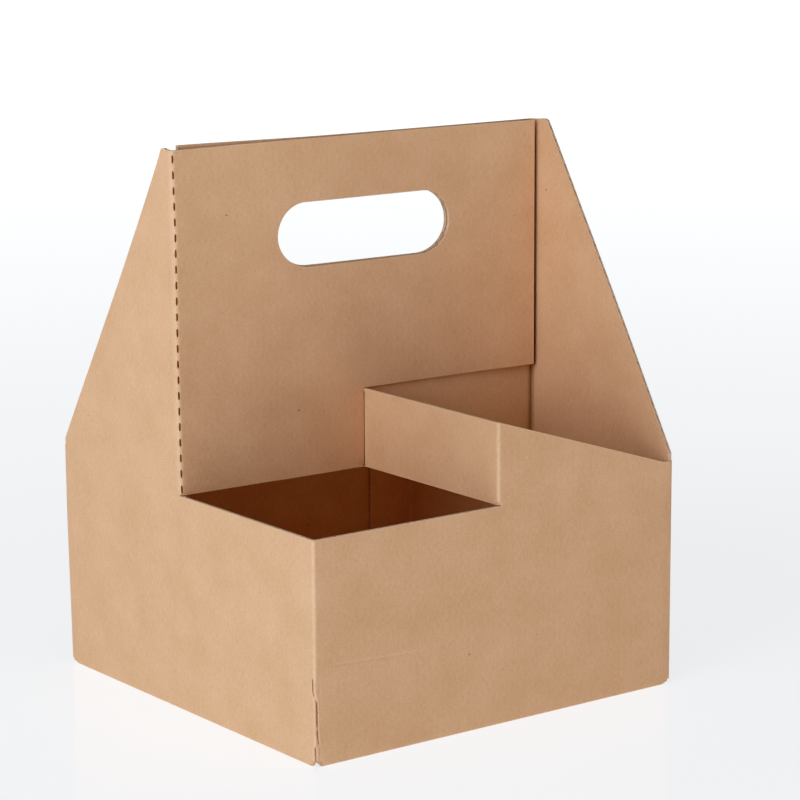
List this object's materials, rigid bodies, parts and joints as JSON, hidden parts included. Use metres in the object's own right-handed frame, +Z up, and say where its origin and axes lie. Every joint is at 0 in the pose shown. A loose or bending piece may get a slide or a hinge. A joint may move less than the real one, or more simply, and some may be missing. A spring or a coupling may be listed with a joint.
{
  "type": "cup carrier",
  "caption": "Folded corrugated-board carrier for drinks cups: open box with low and high rims, folded-in dividers, side gables and a central double handle with a hand hole.",
  "frame": {"origin": "middle of the footprint, on the floor", "axes": "+X along the front wall to the right, +Y from the front wall to the back wall, +Z up to the handle"},
  "size_m": [0.19, 0.19, 0.24],
  "materials": {
    "kraft_board": "matt brown kraft liner on fine-flute corrugated board"
  },
  "bodies": {
    "root": {"carrier": "kraft_board"}
  },
  "joints": []
}
